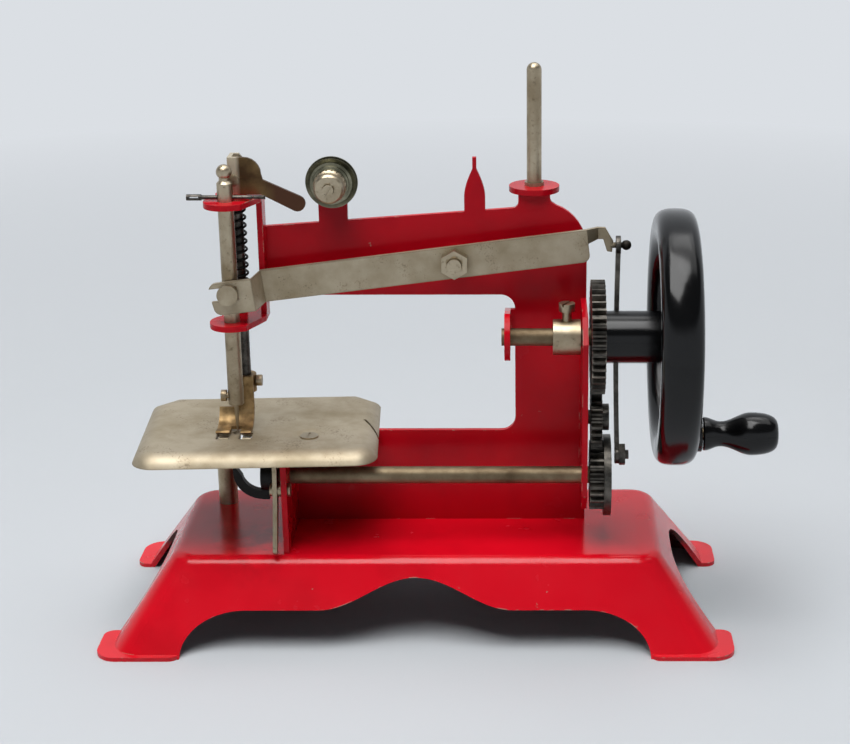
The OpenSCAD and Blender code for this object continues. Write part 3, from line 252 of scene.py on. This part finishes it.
# oil thrown by the feed has stained the base top by its bracket, over about 36 mm
OILED_SPOT = Vector((-50.0, -10.0, 25.0)) * MM
oil_reach = add(tree, "ShaderNodeVectorMath", {0: place, 1: OILED_SPOT}, operation="DISTANCE")
oil_field = add(tree, "ShaderNodeMapRange", {
    "Value": oil_reach.outputs["Value"], "From Min": 18 * MM, "From Max": 6 * MM, "To Max": 0.55})
oil_patch = add(tree, "ShaderNodeTexNoise", {"Vector": place, "Scale": 1 / (7 * MM), "Detail": 5.0})
oil_break = add(tree, "ShaderNodeMapRange", {
    "Value": oil_patch.outputs["Fac"], "From Min": 0.4, "From Max": 0.62})
oil_mask = add(tree, "ShaderNodeMath", {0: oil_field.outputs[0], 1: oil_break.outputs[0]},
               operation="MULTIPLY")
stained_colour = add(tree, "ShaderNodeMix", {
    0: oil_mask.outputs[0], 6: drift_ramp.outputs["Color"], 7: linear(OIL_STAIN)}, data_type="RGBA")
enamel_colour = add(tree, "ShaderNodeMix", {
    0: bare.outputs[0], 6: stained_colour.outputs[2], 7: linear(BARE_CHIP)}, data_type="RGBA")
# faces that point down, as inside the pressing, are darkened as painted shade
facing = add(tree, "ShaderNodeSeparateXYZ", {"Vector": face_normal})
underside_shade_mask = add(tree, "ShaderNodeMapRange", {
    "Value": facing.outputs["Z"], "From Min": -0.25, "From Max": -0.4, "To Max": 0.9})
coat_colour = add(tree, "ShaderNodeMix", {
    0: underside_shade_mask.outputs[0], 6: enamel_colour.outputs[2], 7: linear(UNDERSIDE_PAINTED_SHADE)},
    data_type="RGBA")
rubbed = add(tree, "ShaderNodeTexNoise", {"Vector": place, "Scale": 1 / (9 * MM), "Detail": 5.0})
enamel_rough = add(tree, "ShaderNodeMapRange", {
    "Value": rubbed.outputs["Fac"], "From Min": 0.35, "From Max": 0.75, "To Min": 0.16, "To Max": 0.3})
orange_peel = add(tree, "ShaderNodeTexNoise", {"Vector": place, "Scale": 1 / (3.5 * MM), "Detail": 2.0})
peel_height = add(tree, "ShaderNodeMath", {0: bare.outputs[0], 1: -0.5, 2: orange_peel.outputs["Fac"]},
                  operation="MULTIPLY_ADD")
enamel_bump = add(tree, "ShaderNodeBump", {
    "Height": peel_height.outputs[0], "Strength": 0.08, "Distance": 0.3 * MM})
enamel_shader = add(tree, "ShaderNodeBsdfPrincipled", {
    "Base Color": coat_colour.outputs[2], "Roughness": enamel_rough.outputs[0],
    "Normal": enamel_bump.outputs[0], "IOR": 1.5, "Specular IOR Level": 0.35})
tree.links.new(enamel_shader.outputs[0], enamel_out.inputs["Surface"])
dress("base", enamel, 0.35)

# Frame: one sheet steel blank, folded into the column plate, gear flange, shaft ear, looper
# bracket and head ears, enamelled on every side and screwed to the base from below; its red is
# painted deeper than the base's, as painted shade on the upright plates.
FRAME_SHADED_RED = "#bc091b"
FRAME_SHADED_DEEP = "#a40718"
# a copy of the base enamel whose red is darkened as painted shade, with a weaker gloss
shaded_frame_enamel = enamel.copy()
shaded_frame_enamel.name = "red_stoving_enamel_painted_shade"
frame_nodes = shaded_frame_enamel.node_tree.nodes
frame_nodes[drift_ramp.name].color_ramp.elements[0].color = linear(FRAME_SHADED_DEEP)
frame_nodes[drift_ramp.name].color_ramp.elements[1].color = linear(FRAME_SHADED_RED)
# the frame gets none of the painted underside shade
frame_nodes[underside_shade_mask.name].inputs["To Max"].default_value = 0.0
frame_nodes[enamel_shader.name].inputs["Specular IOR Level"].default_value = 0.13
dress("frame", shaded_frame_enamel, 0.25)

# Frame screws: two cheese-headed machine screws up through the base into hexagon nuts,
# turned steel, nickel plated.
NICKEL_PALE = "#b3a68f"
NICKEL_WARM = "#8b7c64"
NICKEL_STAIN = "#5f503c"

nickel, nickel_out = new_material("aged_nickel_plate")
tree = nickel.node_tree
place = add(tree, "ShaderNodeTexCoord").outputs["Object"]
# plating tarnishes in clouds about 12 mm across, with pits about 1 mm apart
cloud = add(tree, "ShaderNodeTexNoise", {
    "Vector": place, "Scale": 1 / (12 * MM), "Detail": 6.0, "Roughness": 0.6})
cloud_ramp = add(tree, "ShaderNodeValToRGB", {"Fac": cloud.outputs["Fac"]})
cloud_ramp.color_ramp.elements[0].color = linear(NICKEL_WARM)
cloud_ramp.color_ramp.elements[0].position = 0.35
cloud_ramp.color_ramp.elements[1].color = linear(NICKEL_PALE)
cloud_ramp.color_ramp.elements[1].position = 0.6
pits = add(tree, "ShaderNodeTexNoise", {"Vector": place, "Scale": 1 / (1.1 * MM), "Detail": 3.0})
pit_mask = add(tree, "ShaderNodeMapRange", {
    "Value": pits.outputs["Fac"], "From Min": 0.6, "From Max": 0.78, "To Max": 0.6})
nickel_colour = add(tree, "ShaderNodeMix", {
    0: pit_mask.outputs[0], 6: cloud_ramp.outputs["Color"], 7: linear(NICKEL_STAIN)}, data_type="RGBA")
nickel_rough = add(tree, "ShaderNodeMapRange", {
    "Value": cloud.outputs["Fac"], "From Min": 0.3, "From Max": 0.7, "To Min": 0.46, "To Max": 0.3})
nickel_bump = add(tree, "ShaderNodeBump", {
    "Height": pits.outputs["Fac"], "Strength": 0.08, "Distance": 0.1 * MM})
nickel_shader = add(tree, "ShaderNodeBsdfPrincipled", {
    "Base Color": nickel_colour.outputs[2], "Metallic": 1.0, "Roughness": nickel_rough.outputs[0],
    "Normal": nickel_bump.outputs[0]})
tree.links.new(nickel_shader.outputs[0], nickel_out.inputs["Surface"])
dress("frame_screws", nickel, 0.15)

# Spool pin: a turned steel peg with a round tip, riveted through the round plate on top of the
# column, nickel plated and tarnished like the screws.
dress("spool_pin", nickel)

# Thread tension: a slotted stud through the tab on the arm, two dished brass discs that pinch
# the thread under a stepped pressure cup, and a plain round nut; the discs have gone grey-green.
BRASS_WORN = "#8d8a76"
BRASS_DARK = "#5b5a4b"

brass, brass_out = new_material("worn_plated_brass")
tree = brass.node_tree
place = add(tree, "ShaderNodeTexCoord").outputs["Object"]
wear = add(tree, "ShaderNodeTexNoise", {"Vector": place, "Scale": 1 / (4 * MM), "Detail": 5.0})
wear_ramp = add(tree, "ShaderNodeValToRGB", {"Fac": wear.outputs["Fac"]})
wear_ramp.color_ramp.elements[0].color = linear(BRASS_DARK)
wear_ramp.color_ramp.elements[0].position = 0.35
wear_ramp.color_ramp.elements[1].color = linear(BRASS_WORN)
wear_ramp.color_ramp.elements[1].position = 0.62
brass_rough = add(tree, "ShaderNodeMapRange", {
    "Value": wear.outputs["Fac"], "To Min": 0.5, "To Max": 0.26})
brass_shader = add(tree, "ShaderNodeBsdfPrincipled", {
    "Base Color": wear_ramp.outputs["Color"], "Metallic": 1.0, "Roughness": brass_rough.outputs[0]})
tree.links.new(brass_shader.outputs[0], brass_out.inputs["Surface"])
dress("tension_stud", nickel)
dress("tension_discs", brass)
dress("tension_nut", nickel, 0.08)

# Cloth plate: pressed sheet with a bevelled rim and clipped corners, nickel plated and dulled,
# held by a slotted screw at the right and a plain post at the left.
SHEET_PALE = "#b5a993"
SHEET_DULL = "#988b72"
SHEET_SPECK = "#675740"
OILED_BLACK = "#2c2824"

dulled_sheet, sheet_out = new_material("dulled_nickel_sheet")
tree = dulled_sheet.node_tree
place = add(tree, "ShaderNodeTexCoord").outputs["Object"]
# thumbed plating: pale and dull clouds about 16 mm across, fine specks where it has pitted, and
# a darker, rubbed line along each edge
thumbed = add(tree, "ShaderNodeTexNoise", {
    "Vector": place, "Scale": 1 / (16 * MM), "Detail": 7.0, "Roughness": 0.62})
thumbed_ramp = add(tree, "ShaderNodeValToRGB", {"Fac": thumbed.outputs["Fac"]})
thumbed_ramp.color_ramp.elements[0].color = linear(SHEET_DULL)
thumbed_ramp.color_ramp.elements[0].position = 0.35
thumbed_ramp.color_ramp.elements[1].color = linear(SHEET_PALE)
thumbed_ramp.color_ramp.elements[1].position = 0.62
specks = add(tree, "ShaderNodeTexNoise", {"Vector": place, "Scale": 1 / (0.6 * MM), "Detail": 3.0})
speck_field = add(tree, "ShaderNodeTexNoise", {"Vector": place, "Scale": 1 / (9 * MM), "Detail": 2.0})
speck_sum = add(tree, "ShaderNodeMath", {0: specks.outputs["Fac"], 1: speck_field.outputs["Fac"]},
                operation="ADD")
speck_mask = add(tree, "ShaderNodeMapRange", {
    "Value": speck_sum.outputs[0], "From Min": 1.16, "From Max": 1.34, "To Max": 0.6})
sheet_edge = add(tree, "ShaderNodeBevel", {"Radius": 0.6 * MM}, samples=6)
sheet_face = add(tree, "ShaderNodeNewGeometry").outputs["Normal"]
sheet_turn = add(tree, "ShaderNodeVectorMath", {0: sheet_edge.outputs[0], 1: sheet_face},
                 operation="DOT_PRODUCT")
sheet_edge_mask = add(tree, "ShaderNodeMapRange", {
    "Value": sheet_turn.outputs["Value"], "From Min": 0.985, "From Max": 0.9, "To Max": 0.5})
sheet_dark = add(tree, "ShaderNodeMath", {0: speck_mask.outputs[0], 1: sheet_edge_mask.outputs[0]},
                 operation="MAXIMUM")
sheet_colour = add(tree, "ShaderNodeMix", {
    0: sheet_dark.outputs[0], 6: thumbed_ramp.outputs["Color"], 7: linear(SHEET_SPECK)},
    data_type="RGBA")
# the lever's ball end, out by the gears, is black with oil
lengthwise = add(tree, "ShaderNodeSeparateXYZ", {"Vector": place})
oiled_end = add(tree, "ShaderNodeMapRange", {
    "Value": lengthwise.outputs["X"], "From Min": 47.6 * MM, "From Max": 49.6 * MM})
oiled_sheet = add(tree, "ShaderNodeMix", {
    0: oiled_end.outputs[0], 6: sheet_colour.outputs[2], 7: linear(OILED_BLACK)}, data_type="RGBA")
sheet_rough = add(tree, "ShaderNodeMapRange", {
    "Value": thumbed.outputs["Fac"], "From Min": 0.3, "From Max": 0.7, "To Min": 0.62, "To Max": 0.5})
sheet_bump = add(tree, "ShaderNodeBump", {
    "Height": specks.outputs["Fac"], "Strength": 0.06, "Distance": 0.1 * MM})
sheet_shader = add(tree, "ShaderNodeBsdfPrincipled", {
    "Base Color": oiled_sheet.outputs[2], "Metallic": 0.85, "Roughness": sheet_rough.outputs[0],
    "Normal": sheet_bump.outputs[0]})
tree.links.new(sheet_shader.outputs[0], sheet_out.inputs["Surface"])
dress("cloth_plate", dulled_sheet, 0.5, 3)
dress("plate_screw", nickel)
dress("plate_post", nickel)

# Needle lever: a long stamped strip that rocks on a bolt in the arm, forked at the needle bar
# and drawn to a small ball at the gear end; the bolt carries a spacer and a hexagon nut.
dress("lever_bolt", nickel, 0.1)
dress("lever_nut", nickel, 0.12)
dress("needle_lever", dulled_sheet, 0.2)

# Connecting rod: a flat strip of oil-darkened steel from beside the crank to the lever's ball,
# with a hexagon nut on the screw at its lower eye.
STEEL_DARK = "#3b3936"
STEEL_WORN = "#6f6a63"

dark_steel, dark_out = new_material("oil_darkened_steel")
tree = dark_steel.node_tree
place = add(tree, "ShaderNodeTexCoord").outputs["Object"]
grime = add(tree, "ShaderNodeTexNoise", {
    "Vector": place, "Scale": 1 / (5 * MM), "Detail": 6.0, "Roughness": 0.65})
grime_ramp = add(tree, "ShaderNodeValToRGB", {"Fac": grime.outputs["Fac"]})
grime_ramp.color_ramp.elements[0].color = linear(STEEL_DARK)
grime_ramp.color_ramp.elements[0].position = 0.4
grime_ramp.color_ramp.elements[1].color = linear(STEEL_WORN)
grime_ramp.color_ramp.elements[1].position = 0.68
grime_rough = add(tree, "ShaderNodeMapRange", {
    "Value": grime.outputs["Fac"], "To Min": 0.55, "To Max": 0.3})
dark_shader = add(tree, "ShaderNodeBsdfPrincipled", {
    "Base Color": grime_ramp.outputs["Color"], "Metallic": 1.0, "Roughness": grime_rough.outputs[0]})
tree.links.new(dark_shader.outputs[0], dark_out.inputs["Surface"])
dress("connecting_rod", dark_steel, 0.12)
dress("rod_screw", dark_steel, 0.12)

# Needle bar: a turned steel rod with a knob, sliding in both head ears, with a clamp screw for
# the needle, a shouldered stud for the lever's fork and a split pin that stops its fall.
dress("needle_bar", nickel)
dress("needle", nickel)
dress("needle_screw", nickel, 0.1)
dress("lever_stud", nickel, 0.15)
dress("split_pin", dark_steel)

# Presser bar: a thinner rod behind the needle bar with a pressed-on collar, and a foot bent from
# sheet that a small screw clamps to its lower end.
FOOT_GOLD = "#a98d63"
FOOT_DARK = "#6a5436"

worn_foot, foot_out = new_material("rubbed_brass_foot")
tree = worn_foot.node_tree
place = add(tree, "ShaderNodeTexCoord").outputs["Object"]
# rubbed by cloth: streaky bright and brown patches about 3 mm across
streaks = add(tree, "ShaderNodeTexNoise", {"Vector": place, "Scale": 1 / (3 * MM), "Detail": 5.0})
streak_ramp = add(tree, "ShaderNodeValToRGB", {"Fac": streaks.outputs["Fac"]})
streak_ramp.color_ramp.elements[0].color = linear(FOOT_DARK)
streak_ramp.color_ramp.elements[0].position = 0.35
streak_ramp.color_ramp.elements[1].color = linear(FOOT_GOLD)
streak_ramp.color_ramp.elements[1].position = 0.65
streak_rough = add(tree, "ShaderNodeMapRange", {
    "Value": streaks.outputs["Fac"], "To Min": 0.6, "To Max": 0.36})
foot_shader = add(tree, "ShaderNodeBsdfPrincipled", {
    "Base Color": streak_ramp.outputs["Color"], "Metallic": 0.9, "Roughness": streak_rough.outputs[0]})
tree.links.new(foot_shader.outputs[0], foot_out.inputs["Surface"])
dress("presser_bar", dark_steel)
dress("presser_collar", dark_steel, 0.12)
dress("presser_foot", worn_foot, 0.1)
dress("foot_screw", nickel, 0.1)

# Presser spring: round black spring wire in ten open turns, squeezed between the collar and the
# upper ear; its wire ends stand square on both.
SPRING_TURNS = 10
SPRING_WIRE = 0.7
SPRING_CLEAR = 0.15
SPRING_BLACK = "#1d1c1b"
TURN_STEPS = 24
WIRE_SIDES = 10
spring_low, spring_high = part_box("presser_spring")
spring_mid = Vector(((spring_low[0] + spring_high[0]) / 2, (spring_low[1] + spring_high[1]) / 2, 0.0))
wire_radius = SPRING_WIRE * MM / 2
spring_radius = (spring_high[0] - spring_low[0]) / 2 - wire_radius - SPRING_CLEAR * MM
wire_points = [Vector((spring_radius, 0.0, spring_low[2]))]
coil_low = spring_low[2] + SPRING_WIRE * MM
coil_high = spring_high[2] - SPRING_WIRE * MM
for i in range(SPRING_TURNS * TURN_STEPS + 1):
    turn = 2 * math.pi * i / TURN_STEPS
    wire_points.append(Vector((spring_radius * math.cos(turn), spring_radius * math.sin(turn),
                               coil_low + (coil_high - coil_low) * i / (SPRING_TURNS * TURN_STEPS))))
wire_points.append(Vector((spring_radius, 0.0, spring_high[2])))
spring_bm = bmesh.new()
wire_rings = []
for i, centre in enumerate(wire_points):
    along = (wire_points[min(i + 1, len(wire_points) - 1)] - wire_points[max(i - 1, 0)]).normalized()
    outward = Vector((centre.x, centre.y, 0.0)).normalized()
    sideways = along.cross(outward).normalized()
    wire_rings.append([])
    for k in range(WIRE_SIDES):
        side = 2 * math.pi * k / WIRE_SIDES
        rim = wire_radius * (math.cos(side) * outward + math.sin(side) * sideways)
        wire_rings[-1].append(spring_bm.verts.new(centre + spring_mid + rim))
for ring, after in zip(wire_rings, wire_rings[1:]):
    for k in range(WIRE_SIDES):
        beside = (k + 1) % WIRE_SIDES
        spring_bm.faces.new((ring[k], ring[beside], after[beside], after[k])).smooth = True
spring_bm.faces.new(wire_rings[0][::-1])
spring_bm.faces.new(wire_rings[-1])
bmesh.ops.recalc_face_normals(spring_bm, faces=spring_bm.faces)
spring_mesh = bpy.data.meshes.new("spring_wire")
spring_bm.to_mesh(spring_mesh)
spring_bm.free()

spring_steel, spring_out = new_material("black_spring_wire")
tree = spring_steel.node_tree
place = add(tree, "ShaderNodeTexCoord").outputs["Object"]
scale_noise = add(tree, "ShaderNodeTexNoise", {"Vector": place, "Scale": 1 / (1.5 * MM), "Detail": 3.0})
spring_rough = add(tree, "ShaderNodeMapRange", {
    "Value": scale_noise.outputs["Fac"], "To Min": 0.3, "To Max": 0.6})
spring_shader = add(tree, "ShaderNodeBsdfPrincipled", {
    "Base Color": linear(SPRING_BLACK), "Metallic": 0.8, "Roughness": spring_rough.outputs[0]})
tree.links.new(spring_shader.outputs[0], spring_out.inputs["Surface"])
spring_mesh.materials.append(spring_steel)
spring = bpy.data.objects.new("spring_wire", spring_mesh)
scene.collection.objects.link(spring)
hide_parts("presser_spring")
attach(spring, "presser")
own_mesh(spring)

# Presser lifter: a folded steel finger lever riveted through the top of the presser bar, its
# plating gone and the steel browned.
BROWNED = "#75603f"
BROWNED_DARK = "#4c3a26"
FINGER_BROWN = "#53382a"
FOLD_BRIGHT = "#cfc4ae"

browned, browned_out = new_material("browned_steel")
tree = browned.node_tree
place = add(tree, "ShaderNodeTexCoord").outputs["Object"]
rust = add(tree, "ShaderNodeTexNoise", {"Vector": place, "Scale": 1 / (6 * MM), "Detail": 6.0})
rust_ramp = add(tree, "ShaderNodeValToRGB", {"Fac": rust.outputs["Fac"]})
rust_ramp.color_ramp.elements[0].color = linear(BROWNED_DARK)
rust_ramp.color_ramp.elements[0].position = 0.35
rust_ramp.color_ramp.elements[1].color = linear(BROWNED)
rust_ramp.color_ramp.elements[1].position = 0.6
# the fold, the first 3 mm from the lever's left end, is pale
lifter_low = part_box("presser_lifter")[0]
across = add(tree, "ShaderNodeSeparateXYZ", {"Vector": place})
fold_mask = add(tree, "ShaderNodeMapRange", {
    "Value": across.outputs["X"], "From Min": lifter_low[0] + 3.4 * MM,
    "From Max": lifter_low[0] + 2.2 * MM})
# the finger end, right of the cheek, is the darkest
finger_mask = add(tree, "ShaderNodeMapRange", {
    "Value": across.outputs["X"], "From Min": lifter_low[0] + 9 * MM,
    "From Max": lifter_low[0] + 13 * MM})
worn_colour = add(tree, "ShaderNodeMix", {
    0: finger_mask.outputs[0], 6: rust_ramp.outputs["Color"], 7: linear(FINGER_BROWN)},
    data_type="RGBA")
lifter_colour = add(tree, "ShaderNodeMix", {
    0: fold_mask.outputs[0], 6: worn_colour.outputs[2], 7: linear(FOLD_BRIGHT)}, data_type="RGBA")
rust_rough = add(tree, "ShaderNodeMapRange", {"Value": rust.outputs["Fac"], "To Min": 0.6, "To Max": 0.35})
browned_shader = add(tree, "ShaderNodeBsdfPrincipled", {
    "Base Color": lifter_colour.outputs[2], "Metallic": 0.9, "Roughness": rust_rough.outputs[0]})
tree.links.new(browned_shader.outputs[0], browned_out.inputs["Surface"])
dress("presser_lifter", browned, 0.2)
dress("lifter_rivet", nickel, 0.12)

# Main shaft: a turned steel rod through the shaft ear and gear flange, held by a collar with a
# slotted set screw, carrying the large gear; oil and dust have dulled and browned both shafts.
SHAFT_PALE = "#84765f"
SHAFT_BROWN = "#594a38"
shaft_steel = nickel.copy()
shaft_steel.name = "oil_filmed_shaft_steel"
shaft_nodes = shaft_steel.node_tree.nodes
shaft_nodes[cloud_ramp.name].color_ramp.elements[0].color = linear(SHAFT_BROWN)
shaft_nodes[cloud_ramp.name].color_ramp.elements[1].color = linear(SHAFT_PALE)
shaft_nodes[nickel_rough.name].inputs["To Min"].default_value = 0.62
shaft_nodes[nickel_rough.name].inputs["To Max"].default_value = 0.46
dress("main_shaft", shaft_steel)
dress("shaft_collar", nickel, 0.2)
dress("collar_screw", nickel, 0.12)
dress("main_gear", dark_steel)

# Hand wheel: a gloss black moulding with a full round rim, a dished web and a long hub, pressed
# on the shaft; the pear-shaped handle turns on a steel pin in the wheel.
MOULDING_BLACK = "#070708"

black_moulding, black_out = new_material("gloss_black_moulding")
tree = black_moulding.node_tree
place = add(tree, "ShaderNodeTexCoord").outputs["Object"]
scuff = add(tree, "ShaderNodeTexNoise", {"Vector": place, "Scale": 1 / (14 * MM), "Detail": 6.0})
scuff_rough = add(tree, "ShaderNodeMapRange", {
    "Value": scuff.outputs["Fac"], "From Min": 0.35, "From Max": 0.75, "To Min": 0.12, "To Max": 0.26})
black_shader = add(tree, "ShaderNodeBsdfPrincipled", {
    "Base Color": linear(MOULDING_BLACK), "Roughness": scuff_rough.outputs[0], "IOR": 1.53,
    "Specular IOR Level": 0.3})
tree.links.new(black_shader.outputs[0], black_out.inputs["Surface"])
dress("hand_wheel", black_moulding)
dress("crank_pin", nickel)
dress("crank_handle", black_moulding)

# Gear train: an idler on a headed stud and a small gear with the crank disc on the lower shaft,
# all cut from oil-darkened steel.
dress("idler_gear", dark_steel)
dress("idler_stud", dark_steel, 0.15)
dress("lower_gear", dark_steel)
dress("crank_disc", dark_steel, 0.2)

# Looper shaft: a long steel rod along the bed to the looper under the cloth plate, which hooks
# the thread from the needle.
dress("looper_shaft", shaft_steel)
dress("looper", spring_steel, 0.1)

# Feed: a flat stamped lever on a rivet in the looper bracket, carrying the toothed feed dog up
# into the slots of the cloth plate.
dress("feed_lever", nickel, 0.15)
dress("feed_dog", nickel)
dress("feed_rivet", nickel, 0.1)
